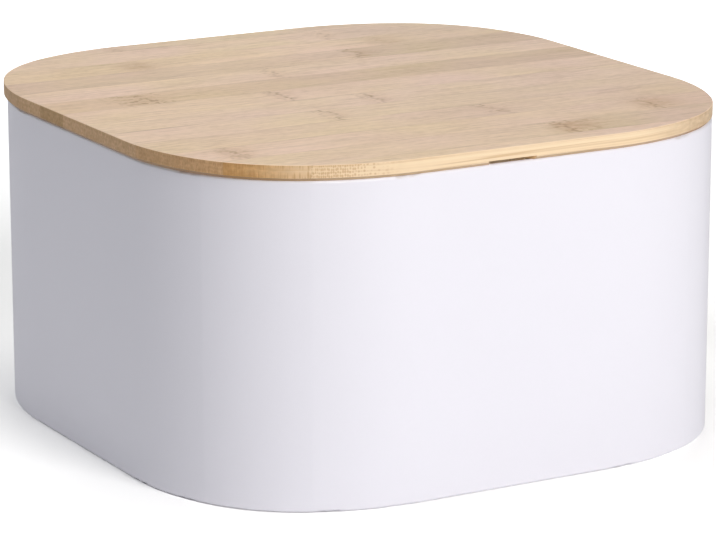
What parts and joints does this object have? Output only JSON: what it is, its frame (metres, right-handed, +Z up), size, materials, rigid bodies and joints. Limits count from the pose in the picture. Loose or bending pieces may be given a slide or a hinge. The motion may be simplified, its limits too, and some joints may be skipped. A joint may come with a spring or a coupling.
{
  "type": "bread box",
  "caption": "Free-standing bread box, square with soft corners: white coated sheet-steel body and a flat lift-off lid of glued bamboo strips with a finger recess under its front edge.",
  "frame": {"origin": "on the floor under the middle of the box", "axes": "+Z up, -Y to the front edge with the finger recess, +X to the right seen from the front"},
  "size_m": [0.3018, 0.3088, 0.1626],
  "materials": {
    "white_coat": "satin powder coat, fine orange peel",
    "bamboo_pale": "flat-grain bamboo strip, fine sanded, matt oil",
    "bamboo_warm": "flat-grain bamboo strip of a darker tone, fine sanded, matt oil",
    "pad_rubber": "matt"
  },
  "bodies": {
    "box": {"wall_band": "white_coat", "base_pan": "white_coat", "pad_front_left": "pad_rubber", "pad_front_right": "pad_rubber", "pad_rear_left": "pad_rubber", "pad_rear_right": "pad_rubber"},
    "lid": {"lid_strip_01": "bamboo_pale", "lid_strip_02": "bamboo_pale", "lid_strip_03": "bamboo_pale", "lid_strip_04": "bamboo_warm", "lid_strip_05": "bamboo_pale", "lid_strip_06": "bamboo_warm", "lid_strip_07": "bamboo_pale", "lid_strip_08": "bamboo_pale", "lid_strip_09": "bamboo_pale", "lid_strip_10": "bamboo_pale", "lid_strip_11": "bamboo_pale", "lid_strip_12": "bamboo_pale", "lid_strip_13": "bamboo_pale"}
  },
  "joints": [
    {"name": "lid_lift", "type": "slide", "parent": "box", "child": "lid", "axis": [0, 0, 1], "range_m": [0, 0.16]}
  ]
}
